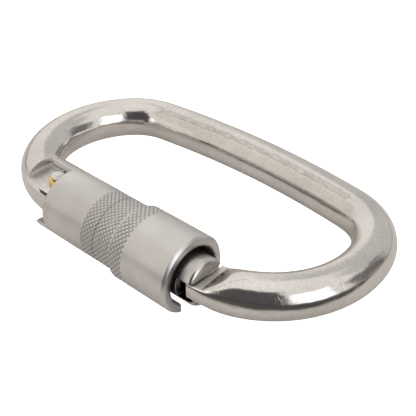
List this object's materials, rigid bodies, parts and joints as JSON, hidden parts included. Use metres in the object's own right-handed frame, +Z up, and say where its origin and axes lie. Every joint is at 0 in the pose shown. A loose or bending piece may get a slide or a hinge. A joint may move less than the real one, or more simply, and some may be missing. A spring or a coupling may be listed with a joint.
{
  "type": "locking carabiner",
  "caption": "Oval steel carabiner: a round-bar loop with a spring-closed hinged gate locked by a knurled quarter-turn sleeve.",
  "frame": {"origin": "centre of the loop on the middle plane of the round bar", "axes": "+X along the loop's length towards the nose where the gate closes, +Y from the gate to the spine, +Z up through the loop's opening"},
  "size_m": [0.1044, 0.061, 0.0188],
  "materials": {
    "bow_steel": "tumbled and polished stainless steel",
    "turned_steel": "turned stainless steel",
    "sleeve_steel": "satin turned stainless steel with a diamond knurl",
    "rivet_steel": "polished steel rivet",
    "brass": "turned brass",
    "pin_steel": "ground steel pin",
    "spring_steel": "drawn spring wire"
  },
  "bodies": {
    "bow": {"bow": "bow_steel"},
    "gate": {"gate_barrel": "turned_steel", "hinge_rivet": "rivet_steel", "upper_hinge_bush": "brass", "lower_hinge_bush": "brass", "latch_pin": "pin_steel", "guide_ring": "turned_steel", "guide_pin": "pin_steel", "gate_spring": "spring_steel", "sleeve_spring": "spring_steel"},
    "sleeve": {"locking_sleeve": "sleeve_steel"},
    "plunger": {"gate_plunger": "pin_steel"}
  },
  "joints": [
    {"name": "gate_hinge", "type": "hinge", "parent": "bow", "child": "gate", "pos_m": [-0.0232, -0.0232, 0], "axis": [0, 0, 1], "range_deg": [0, 20]},
    {"name": "sleeve_twist", "type": "hinge", "parent": "gate", "child": "sleeve", "pos_m": [0.0075, -0.0232, 0], "axis": [-1, 0, 0], "range_deg": [0, 90]},
    {"name": "plunger_slide", "type": "slide", "parent": "gate", "child": "plunger", "axis": [1, 0, 0], "range_m": [0, 0.00095], "deforming": ["gate_spring"]}
  ],
  "couplings": [
    {"joint": "plunger_slide", "follows": "gate_hinge", "m_per_rad": 0.0026}
  ]
}
